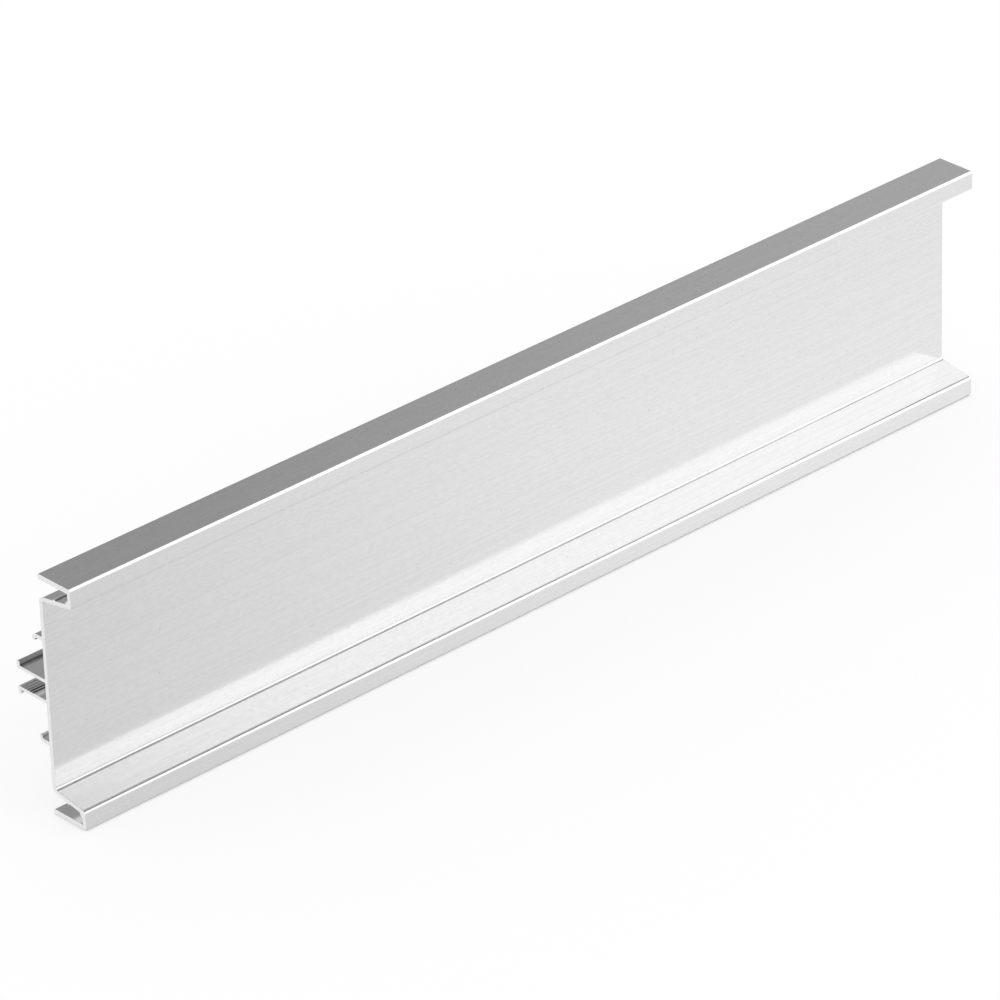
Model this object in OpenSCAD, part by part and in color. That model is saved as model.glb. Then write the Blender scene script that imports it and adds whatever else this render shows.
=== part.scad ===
// Recessed-grip channel profile, one aluminium extrusion.
// The section is drawn once, as depth from the front face and height above the mid-plane,
// and drawn out along X. The open grip side faces -Y, the mounting rail faces +Y, +Z is up.

/* [Stock] */
// Cut length of the piece
length = 344; // [100:1:1000]
// Overall height
height = 74; // [68:0.5:90]
// Thickness of the web, the flared plates and the lip fronts
wall = 1.3; // [1:0.1:1.8]

/* [Lips] */
// Depth of a lip, from its front face to the back of the web
lip_depth = 13.3; // [11:0.1:18]
// Height of a lip at its front face
lip_height = 6; // [5.8:0.1:9]
// Thickness of the flat outer plate of a lip
plate_wall = 1.6; // [1.2:0.1:2]
// Slope of the flared plate between lip and web, in degrees
flare_angle = 9.5; // [3:0.5:12]
// Inside radius of the bend between flared plate and web
bend_radius = 1; // [0.4:0.1:2]
// Bevel of the outer front edges
edge_bevel = 0.6; // [0.2:0.05:0.9]
// Rounding of the grip edges, where a lip front meets its flared plate
edge_radius = 1.15; // [0.3:0.05:1.2]
// Bevel of an outer plate's rear edges
tip_bevel = 0.35; // [0.1:0.05:0.5]
// Radius of the bead inside a lip pocket
bead_radius = 0.4; // [0.2:0.05:0.6]
// Depth of that bead behind the front face
bead_depth = 7; // [4:0.1:9]

/* [Rail] */
// Height of the rail's centre above mid-height
rail_rise = 0.9; // [-3:0.1:3]
// Reach of the shelves behind the web
shelf_reach = 11.7; // [10:0.1:16]
// Thickness of a shelf
shelf_wall = 1.1; // [1:0.1:1.8]
// Clear slot between the two shelves
slot = 5.3; // [4:0.1:7]
// Thickness of the turned lip at a shelf's end
shelf_lip = 1.2; // [0.9:0.1:1.8]
// Height of that turned lip beyond the shelf
shelf_turn = 1.4; // [0.8:0.1:3]
// Rounding of the shelf's corner under the turned lip
turn_radius = 0.5; // [0.2:0.05:0.8]
// Fillet where shelves and hooks meet the web
root_fillet = 0.4; // [0.2:0.05:0.6]

/* [Screw teeth] */
// Number of grooves in the face of a shelf
teeth = 5; // [2:1:5]
// Distance from groove to groove
tooth_pitch = 1.15; // [0.9:0.05:1.2]
// Width of a groove at the face
tooth_width = 0.7; // [0.3:0.05:0.8]
// Depth of a groove
tooth_depth = 0.3; // [0.1:0.05:0.4]
// Distance from the shelf's end to the first groove
tooth_start = 1.2; // [0.8:0.1:2.5]

/* [Hooks] */
// Clear height between the arms of the two hooks
hook_gap = 31.1; // [26:0.1:36]
// Reach of a hook behind the web
hook_reach = 4; // [3.4:0.1:5.5]
// Thickness of a hook
hook_wall = 1.2; // [0.9:0.1:1.4]
// Inside radius where the hook turns over
hook_bend = 0.4; // [0.2:0.1:0.7]

/* [Hidden] */
$fn = 96;
half = height / 2;
depth = lip_depth + shelf_reach;
root = lip_depth - wall / 2;
face = lip_depth - wall;
upright = wall / cos(flare_angle);
square_to_flare = [sin(flare_angle), cos(flare_angle)];
tip = lip_depth - tip_bevel;
bend_outer = bend_radius + wall;
bend = [face - bend_radius, recess(face - bend_radius) - bend_radius / cos(flare_angle)];
low_edge = [edge_radius, recess(edge_radius) + edge_radius / cos(flare_angle)];
shelf_top = slot / 2 + shelf_wall;
shelf_end = depth - shelf_lip;
turn = [depth - turn_radius, slot / 2 + turn_radius];
turn_end = [depth - shelf_lip / 2, shelf_top + shelf_turn - shelf_lip / 2];
hook_in = hook_gap / 2;
hook_turn = [lip_depth + hook_reach - hook_bend - hook_wall, hook_in - hook_bend];

// Height of a flared plate's grip side above mid-height, at a depth behind the front face
function recess(at) = half - lip_height - at * tan(flare_angle);

// Height of the same plate's pocket side
function pocket(at) = recess(at) + upright;

// A flat shape drawn out along the length: its depth runs along Y and its height along Z
module drawn_out() {
    rotate([90, 0, 90])
        linear_extrude(length, center = true)
            children();
}

// A piece and its mirror image below the given level
module both(level) {
    translate([0, 0, level]) {
        children();
        mirror([0, 0, 1]) children();
    }
}

// Part of a ring, from the depth axis round to the given angle
module arc(inner, outer, angle) {
    reach = 2 * outer;
    intersection() {
        difference() {
            circle(outer);
            circle(inner);
        }
        polygon([[0, 0], [reach, 0], [reach, reach], reach * [cos(angle), sin(angle)]]);
    }
}

// Fillet in the corner behind the web, above a flat for a rise over 0 and below it for one under 0
module fillet(rise) {
    difference() {
        translate([-root_fillet, -root_fillet]) square(2 * root_fillet);
        translate([root_fillet, rise]) circle(root_fillet);
    }
}

// Upper half of the shell: a lip round a pocket that opens to the rear, and half of the web
module half_shell() {
    polygon([
        [edge_bevel, half],
        [tip, half],
        [lip_depth, half - tip_bevel],
        [lip_depth, half - plate_wall + tip_bevel],
        [tip, half - plate_wall],
        [wall, half - plate_wall],
        [wall, pocket(wall)],
        bend + bend_outer * square_to_flare,
        [lip_depth, bend[1]],
        [lip_depth, -wall],
        [face, -wall],
        [face, recess(face)],
        low_edge - edge_radius * square_to_flare,
        [0, low_edge[1]],
        [0, half - edge_bevel],
    ]);
    translate(low_edge) circle(edge_radius);
    translate([bead_depth, pocket(bead_depth)]) circle(bead_radius);
    translate(bend) arc(bend_radius, bend_outer, 90 - flare_angle);
}

// Upper shelf of the rail, with its turned lip and the teeth in its inner face
module shelf() {
    difference() {
        union() {
            translate([root, slot / 2]) square([turn[0] - root, shelf_wall]);
            translate([shelf_end, turn[1]]) square([shelf_lip, turn_end[1] - turn[1]]);
            translate(turn) circle(turn_radius);
            translate(turn_end) circle(shelf_lip / 2);
            translate([lip_depth, shelf_top]) fillet(root_fillet);
            translate([lip_depth, slot / 2]) fillet(-root_fillet);
        }
        for (i = [0 : teeth - 1]) {
            translate([depth - tooth_start - tooth_width / 2 - i * tooth_pitch, slot / 2]) groove();
        }
    }
}

// One V groove of the screw teeth
module groove() {
    polygon([
        [-tooth_width, -tooth_depth],
        [tooth_width, -tooth_depth],
        [0, tooth_depth],
    ]);
}

// Upper hook, turned over toward the rail's centre
module hook() {
    translate([root, hook_in]) square([hook_turn[0] - root, hook_wall]);
    translate([lip_depth, hook_in + hook_wall]) fillet(root_fillet);
    translate([lip_depth, hook_in]) fillet(-root_fillet);
    translate(hook_turn) arc(hook_bend, hook_bend + hook_wall, 90);
    translate(hook_turn + [hook_bend + hook_wall / 2, 0]) circle(hook_wall / 2);
}

module channel_profile() {
    color([0.78, 0.79, 0.80])
        translate([0, -depth / 2, half]) {
            both(0) drawn_out() half_shell();
            both(rail_rise) drawn_out() shelf();
            both(rail_rise) drawn_out() hook();
        }
}

channel_profile();
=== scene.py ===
"""Looks of a recessed-grip channel profile: a satin anodised aluminium extrusion with sawn ends."""

import math

import bpy
from mathutils import Matrix, Vector

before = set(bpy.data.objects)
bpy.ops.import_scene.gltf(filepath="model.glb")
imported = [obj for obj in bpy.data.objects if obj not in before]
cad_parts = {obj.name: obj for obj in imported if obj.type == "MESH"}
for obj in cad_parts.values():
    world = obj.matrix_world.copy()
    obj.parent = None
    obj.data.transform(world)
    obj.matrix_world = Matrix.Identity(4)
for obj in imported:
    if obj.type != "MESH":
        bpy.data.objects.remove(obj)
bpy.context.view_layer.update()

# Camera, in metres in the row frame
CAMERA_AT = (-1.0953, -1.1949, 0.9169)
CAMERA_RIGHT = (0.7283, -0.6846, -0.0291)
CAMERA_UP = (0.3480, 0.3330, 0.8764)
LENS_MM = 236.43
SENSOR_MM = 36.0

# Greys of the metal, linear: drawn skin, cut ends and pits, and the painted shade in narrow grooves
# and inside corners
SATIN = 0.770
SATIN_LIGHT = 0.815
SAWN = 0.91
SAWN_DARK = 0.79
PIT = 0.58
PAINTED_NOOK_SHADE = 0.20

# Roughness of the metal, and how far grain and scratches move it
DRAWN_ROUGH = 0.14
SAWN_ROUGH = 0.42
GRAIN_ROUGH = (-0.02, 0.02)
SCRATCH_ROUGH = (-0.015, 0.02)

# Noise on the metal: features per metre, along X, Y and Z where there are three
DRAW_LINES = (3.0, 1400.0, 1400.0)
SCRATCHES = (45.0, 3200.0, 3200.0)
DASHES = (650.0, 2900.0, 2900.0)
GRAIN = 2600.0
PITS = 1100.0
SAW_WANDER = 500.0

# Octaves of that noise, and the strength of each one against the one before
LINE_DETAIL = 3.0
FINE_DETAIL = 2.0
PIT_DETAIL = 1.0
OCTAVE_STRENGTH = 0.55

# Ranges of the noise over which a mark goes from nothing to full
STREAK_SPAN = (0.38, 0.62)
PIT_SPAN = (0.77, 0.81)
GRAIN_SPAN = (0.3, 0.7)
SCRATCH_SPAN = (0.35, 0.65)

# Share of the draw lines in the streaks of colour and in the relief
LINES_IN_STREAK = 0.4
LINES_IN_RELIEF = 0.6
RELIEF_STRENGTH = 0.03
RELIEF_HEIGHT = 0.0001

# Cut ends: centre of the blade and distance between its marks in metres, their sway in radians,
# and the range of the normal's X over which a surface turns into a cut end
SAW_CENTRE = (0.0, -0.16, -0.11)
SAW_PITCH = 0.00045
SAW_SWAY = 4.0
CUT_SPAN = (0.6, 0.8)
ACROSS_LENGTH = (0.0, 1.0, 1.0)

# Edges, the painted shade in grooves and inside corners, and the line of contact on the floor:
# reaches in metres, and ranges of openness
EDGE_SOFTEN = 0.00018
EDGE_SAMPLES = 4
NOOK_REACH = 0.0007
NOOK_SPAN = (0.50, 0.95)
CONTACT_REACH = 0.0012
CONTACT_SPAN = (0.35, 0.95)
OPENNESS_SAMPLES = 4

# Floor, and how white it shows to the camera and in reflections
FLOOR_HALF = 9.0
FLOOR_GREY = 0.95
FLOOR_WHITE = 0.76
FLOOR_MIRROR = 1.0
WHITE_STRENGTH = 1.0

# Curved card behind the piece: it rises from CARD_START to CARD_HIGH between two angles, and its
# grey changes along X between two places
CARD_RADIUS = 1.9
CARD_LOW = 0.10
CARD_HIGH = 2.4
CARD_FROM = math.radians(28)
CARD_FULL = math.radians(62)
CARD_TO = math.radians(178)
CARD_START = 0.7
CARD_DARK = 0.343
CARD_LIGHT = 0.441
CARD_DARK_AT = 1.11
CARD_LIGHT_AT = 1.46
CARD_SIDES = 64

# Round card overhead
CEILING_RADIUS = 2.1
CEILING_AT = (0.30, 0.25)
CEILING_GREY = 0.196

# Thin grey sheet on the floor before the grip side: painted shade of the floor, which shows only in
# reflections. FLAG_NEAR and FLAG_FRONT each give a range, along X and along Y, and the share of
# grey at its start, which is gone at its end
FLAG_AT = (0.0, -0.02, 0.0002)
FLAG_RADIUS = 0.80
FLAG_FADE = 0.35
FLAG_EDGE = -0.013
FLOOR_SHADE_GREY = 0.55
FLAG_NEAR = (-0.20, 0.12, 0.48)
FLAG_FRONT = (-0.085, -0.020, 0.08)

# Lamps
KEY_TOWARD = (0.7705, -0.4785, 0.42)
KEY_SIZE = (2.4, 2.0)
KEY_WATTS = 7.2
RIM_TOWARD = (0.60, 0.46, 0.66)
RIM_SIZE = (0.9, 0.9)
RIM_WATTS = 0.4
LAMP_DISTANCE = 2.2


def grey(level):
    """A neutral colour."""
    return (level, level, level, 1.0)


def add(tree, kind, links=None, **settings):
    """A new shader node with its settings, and with values or sockets on the named inputs."""
    made = tree.nodes.new(kind)
    for name, value in settings.items():
        setattr(made, name, value)
    for name, value in (links or {}).items():
        if isinstance(value, bpy.types.NodeSocket):
            tree.links.new(value, made.inputs[name])
        else:
            made.inputs[name].default_value = value
    return made


def math_node(tree, operation, *values):
    """The result of a math node on sockets or numbers."""
    return add(tree, "ShaderNodeMath", dict(enumerate(values)), operation=operation).outputs[0]


def vector_math(tree, operation, *values):
    """The outputs of a vector math node on sockets or vectors."""
    links = dict(enumerate(values))
    return add(tree, "ShaderNodeVectorMath", links, operation=operation).outputs


def split(tree, vector):
    """A vector's X, Y and Z."""
    return add(tree, "ShaderNodeSeparateXYZ", {0: vector}).outputs


def map_range(tree, value, low, high, to_low, to_high, **settings):
    """A value carried from one range to another, and held at its ends."""
    links = {"Value": value, "From Min": low, "From Max": high, "To Min": to_low, "To Max": to_high}
    return add(tree, "ShaderNodeMapRange", links, **settings).outputs["Result"]


def ramp(tree, value, low, high, to_low=0.0, to_high=1.0):
    """A value carried smoothly from one range to another, and held at its ends."""
    return map_range(tree, value, low, high, to_low, to_high, interpolation_type="SMOOTHSTEP")


def mix_value(tree, factor, a, b):
    """A number between a and b."""
    return map_range(tree, factor, 0.0, 1.0, a, b)


def weighted(tree, a, share, b):
    """Two values added, the first by its share and the second by the rest."""
    rest = math_node(tree, "MULTIPLY", b, 1.0 - share)
    return math_node(tree, "ADD", math_node(tree, "MULTIPLY", a, share), rest)


def mix_colour(tree, factor, a, b):
    """A colour between a and b."""
    made = add(tree, "ShaderNodeMix", {"Factor": factor}, data_type="RGBA")
    colour_a, colour_b = [s for s in made.inputs if s.type == "RGBA"]
    for socket, value in ((colour_a, a), (colour_b, b)):
        if isinstance(value, bpy.types.NodeSocket):
            tree.links.new(value, socket)
        else:
            socket.default_value = value
    return [s for s in made.outputs if s.type == "RGBA"][0]


def mix_shader(tree, share, a, b):
    """A surface between a and b."""
    return add(tree, "ShaderNodeMixShader", {0: share, 1: a, 2: b}).outputs[0]


def emission(tree, strength):
    """A white glow of the given strength."""
    return add(tree, "ShaderNodeEmission", {"Strength": strength}).outputs[0]


def openness(tree, reach, span, **settings):
    """0 in a corner and 1 in the open, told from what stands within reach."""
    links = {"Distance": reach}
    sky = add(tree, "ShaderNodeAmbientOcclusion", links, samples=OPENNESS_SAMPLES, **settings)
    return ramp(tree, sky.outputs["AO"], *span)


def noise(tree, coords, per_metre, detail):
    """Noise with so many features per metre: one number, or one each along X, Y and Z."""
    scale = per_metre
    if isinstance(per_metre, tuple):
        stretch = {"Vector": coords, "Scale": per_metre}
        coords = add(tree, "ShaderNodeMapping", stretch).outputs["Vector"]
        scale = 1.0
    links = {"Vector": coords, "Scale": scale, "Detail": detail, "Roughness": OCTAVE_STRENGTH}
    return add(tree, "ShaderNodeTexNoise", links).outputs[0]


def new_material(name):
    """An empty node material and its tree."""
    material = bpy.data.materials.new(name)
    material.use_nodes = True
    material.node_tree.nodes.clear()
    return material, material.node_tree


def set_surface(tree, surface):
    """Ends a material's tree with its surface."""
    add(tree, "ShaderNodeOutputMaterial", {"Surface": surface})


def saw_marks(tree, coords):
    """Fine arcs that a round blade leaves on a cut end, from 0 to 1."""
    reach = vector_math(tree, "SUBTRACT", coords, SAW_CENTRE)["Vector"]
    flat = vector_math(tree, "MULTIPLY", reach, ACROSS_LENGTH)["Vector"]
    radius = vector_math(tree, "LENGTH", flat)["Value"]
    wander = math_node(tree, "MULTIPLY", noise(tree, coords, SAW_WANDER, FINE_DETAIL), SAW_SWAY)
    turns = math_node(tree, "MULTIPLY", radius, math.tau / SAW_PITCH)
    wave = math_node(tree, "SINE", math_node(tree, "ADD", turns, wander))
    return ramp(tree, wave, -1.0, 1.0)


def sawn_mask(tree):
    """1 on the two cut ends and 0 on the drawn surfaces."""
    normal = add(tree, "ShaderNodeNewGeometry").outputs["True Normal"]
    along = split(tree, normal)["X"]
    return ramp(tree, math_node(tree, "ABSOLUTE", along), *CUT_SPAN)


def satin_aluminium():
    """Drawn, satin anodised aluminium: lines along X, fine grain, a few pits, paler sawn ends, and
    painted shade in inside corners and narrow grooves.
    """
    material, tree = new_material("satin_aluminium")
    coords = add(tree, "ShaderNodeTexCoord").outputs["Object"]
    ends = sawn_mask(tree)
    lines = noise(tree, coords, DRAW_LINES, LINE_DETAIL)
    scratches = noise(tree, coords, SCRATCHES, FINE_DETAIL)
    dashes = noise(tree, coords, DASHES, FINE_DETAIL)
    grain = noise(tree, coords, GRAIN, FINE_DETAIL)
    pits = ramp(tree, noise(tree, coords, PITS, PIT_DETAIL), *PIT_SPAN)
    saw = saw_marks(tree, coords)

    streak = ramp(tree, weighted(tree, lines, LINES_IN_STREAK, dashes), *STREAK_SPAN)
    drawn = mix_colour(tree, streak, grey(SATIN), grey(SATIN_LIGHT))
    drawn = mix_colour(tree, pits, drawn, grey(PIT))
    # Painted shade: the metal's grey darkens in inside corners and narrow grooves, by how closed in
    # they are over a short reach
    in_the_open = openness(tree, NOOK_REACH, NOOK_SPAN, only_local=True)
    drawn = mix_colour(tree, in_the_open, grey(PAINTED_NOOK_SHADE), drawn)
    sawn = mix_colour(tree, saw, grey(SAWN_DARK), grey(SAWN))
    colour = mix_colour(tree, ends, drawn, sawn)

    rough = math_node(tree, "ADD", ramp(tree, grain, *GRAIN_SPAN, *GRAIN_ROUGH), DRAWN_ROUGH)
    scratched = ramp(tree, scratches, *SCRATCH_SPAN, *SCRATCH_ROUGH)
    rough = math_node(tree, "ADD", rough, scratched)
    rough = mix_value(tree, ends, rough, SAWN_ROUGH)

    relief = weighted(tree, lines, LINES_IN_RELIEF, grain)
    relief = math_node(tree, "SUBTRACT", relief, pits)
    relief = mix_value(tree, ends, relief, saw)
    soft = add(tree, "ShaderNodeBevel", {"Radius": EDGE_SOFTEN}, samples=EDGE_SAMPLES)
    bump = {
        "Strength": RELIEF_STRENGTH,
        "Distance": RELIEF_HEIGHT,
        "Height": relief,
        "Normal": soft.outputs["Normal"],
    }
    normal = add(tree, "ShaderNodeBump", bump).outputs["Normal"]

    shader = {"Base Color": colour, "Metallic": 1.0, "Roughness": rough, "Normal": normal}
    set_surface(tree, add(tree, "ShaderNodeBsdfPrincipled", shader).outputs["BSDF"])
    return material


def white_share(tree):
    """How white the floor shows: less to the camera, which sees its shadow, than in a mirror."""
    path = add(tree, "ShaderNodeLightPath").outputs
    camera = math_node(tree, "MULTIPLY", path["Is Camera Ray"], FLOOR_WHITE)
    mirror = math_node(tree, "MAXIMUM", path["Is Glossy Ray"], path["Is Transmission Ray"])
    mirror = math_node(tree, "MULTIPLY", mirror, FLOOR_MIRROR)
    return math_node(tree, "MAXIMUM", camera, mirror)


def floor_material():
    """A pale floor that shows as white, with a soft shadow and a dark line of contact."""
    material, tree = new_material("floor_white")
    matt = add(tree, "ShaderNodeBsdfDiffuse", {"Color": grey(FLOOR_GREY)}).outputs[0]
    in_the_open = openness(tree, CONTACT_REACH, CONTACT_SPAN)
    share = math_node(tree, "MULTIPLY", white_share(tree), in_the_open)
    set_surface(tree, mix_shader(tree, share, matt, emission(tree, WHITE_STRENGTH)))
    return material


def card_material():
    """A grey that grows lighter along X."""
    material, tree = new_material("card_grey")
    along = split(tree, add(tree, "ShaderNodeNewGeometry").outputs["Position"])["X"]
    level = ramp(tree, along, CARD_DARK_AT, CARD_LIGHT_AT, CARD_DARK, CARD_LIGHT)
    set_surface(tree, emission(tree, level))
    return material


def ceiling_material():
    """One plain grey."""
    material, tree = new_material("ceiling_grey")
    set_surface(tree, emission(tree, CEILING_GREY))
    return material


def floor_shade_material():
    """Painted floor shade: a thin grey, thicker toward the near end and away from the piece, gone
    at its radius.
    """
    material, tree = new_material("painted_floor_shade")
    place = add(tree, "ShaderNodeNewGeometry").outputs["Position"]
    spot = split(tree, place)
    near_from, near_to, near_share = FLAG_NEAR
    front_from, front_to, front_share = FLAG_FRONT
    near = ramp(tree, spot["X"], near_from, near_to, near_share, 0.0)
    front = ramp(tree, spot["Y"], front_from, front_to, front_share, 0.0)
    reach = vector_math(tree, "DISTANCE", place, FLAG_AT)["Value"]
    fade = ramp(tree, reach, FLAG_FADE, FLAG_RADIUS, 1.0, 0.0)
    share = math_node(tree, "MULTIPLY", math_node(tree, "ADD", near, front), fade)
    clear = add(tree, "ShaderNodeBsdfTransparent").outputs[0]
    set_surface(tree, mix_shader(tree, share, clear, emission(tree, FLOOR_SHADE_GREY)))
    return material


def stage_piece(name, vertices, faces, material):
    """A mesh that belongs to the stage and not to the object."""
    mesh = bpy.data.meshes.new(name)
    mesh.from_pydata(vertices, [], faces)
    mesh.materials.append(material)
    piece = bpy.data.objects.new(name, mesh)
    bpy.context.scene.collection.objects.link(piece)
    return piece


def only_in_reflections(piece):
    """Keeps a card out of the picture, and off the light that reaches the floor."""
    piece.visible_camera = False
    piece.visible_diffuse = False
    piece.visible_transmission = False
    piece.visible_shadow = False


def on_circle(radius, angles):
    """Points on a circle about the origin, at the given angles."""
    return [(radius * math.cos(angle), radius * math.sin(angle)) for angle in angles]


def build_floor():
    """The floor under the piece."""
    h = FLOOR_HALF
    corners = [(-h, -h, 0.0), (h, -h, 0.0), (h, h, 0.0), (-h, h, 0.0)]
    stage_piece("floor", corners, [(0, 1, 2, 3)], floor_material())


def build_card():
    """A curved grey card behind the piece, which only shows in its reflections."""
    step = (CARD_TO - CARD_FROM) / CARD_SIDES
    angles = [CARD_FROM + i * step for i in range(CARD_SIDES + 1)]
    bow = on_circle(CARD_RADIUS, angles)
    rise = (CARD_HIGH - CARD_START) / (CARD_FULL - CARD_FROM)
    tops = [min(CARD_HIGH, CARD_START + rise * (angle - CARD_FROM)) for angle in angles]
    vertices = [(x, y, CARD_LOW) for x, y in bow]
    vertices += [(x, y, top) for (x, y), top in zip(bow, tops)]
    row = len(bow)
    faces = [(i, i + 1, row + i + 1, row + i) for i in range(CARD_SIDES)]
    only_in_reflections(stage_piece("card", vertices, faces, card_material()))


def build_ceiling():
    """A round grey card overhead, which only shows in reflections."""
    angles = [math.tau * i / CARD_SIDES for i in range(CARD_SIDES)]
    at_x, at_y = CEILING_AT
    rim = [(at_x + x, at_y + y, CARD_HIGH) for x, y in on_circle(CEILING_RADIUS, angles)]
    only_in_reflections(stage_piece("ceiling", rim, [range(CARD_SIDES)], ceiling_material()))


def build_painted_floor_shade():
    """A thin grey sheet on the floor before the grip side, painted shade of the floor that only
    shows in reflections.
    """
    x, y, z = FLAG_AT
    left, right, low = x - FLAG_RADIUS, x + FLAG_RADIUS, y - FLAG_RADIUS
    corners = [(left, low, z), (right, low, z), (right, FLAG_EDGE, z), (left, FLAG_EDGE, z)]
    only_in_reflections(stage_piece("flag", corners, [(0, 1, 2, 3)], floor_shade_material()))


def build_world():
    """A white surround."""
    world = bpy.data.worlds.new("surround")
    bpy.context.scene.world = world
    world.use_nodes = True
    tree = world.node_tree
    tree.nodes.clear()
    white = {"Color": grey(1.0), "Strength": WHITE_STRENGTH}
    surface = add(tree, "ShaderNodeBackground", white).outputs[0]
    add(tree, "ShaderNodeOutputWorld", {"Surface": surface})


def build_lamp(name, toward, size, watts):
    """A soft rectangular lamp that faces the piece."""
    lamp = bpy.data.lights.new(name, "AREA")
    lamp.shape = "RECTANGLE"
    lamp.size, lamp.size_y = size
    lamp.energy = watts
    piece = bpy.data.objects.new(name, lamp)
    toward = Vector(toward).normalized()
    piece.location = toward * LAMP_DISTANCE
    piece.rotation_euler = toward.to_track_quat("Z", "Y").to_euler()
    piece.visible_camera = False
    bpy.context.scene.collection.objects.link(piece)


def build_camera():
    """The photograph's viewpoint."""
    lens = bpy.data.cameras.new("camera")
    lens.lens = LENS_MM
    lens.sensor_width = SENSOR_MM
    camera = bpy.data.objects.new("camera", lens)
    right, up = Vector(CAMERA_RIGHT).normalized(), Vector(CAMERA_UP).normalized()
    turn = Matrix((right, up, right.cross(up))).transposed()
    camera.matrix_world = Matrix.Translation(CAMERA_AT) @ turn.to_4x4()
    bpy.context.scene.collection.objects.link(camera)
    bpy.context.scene.camera = camera


def dress(name, material):
    """Gives a CAD node its material."""
    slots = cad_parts[name].data.materials
    slots.clear()
    slots.append(material)


bpy.context.scene.view_settings.view_transform = "Standard"
dress("channel_profile", satin_aluminium())
build_floor()
build_card()
build_ceiling()
# Painted shade of the floor, which shows only in reflections
build_painted_floor_shade()
build_world()
build_lamp("key", KEY_TOWARD, KEY_SIZE, KEY_WATTS)
build_lamp("rim", RIM_TOWARD, RIM_SIZE, RIM_WATTS)
build_camera()
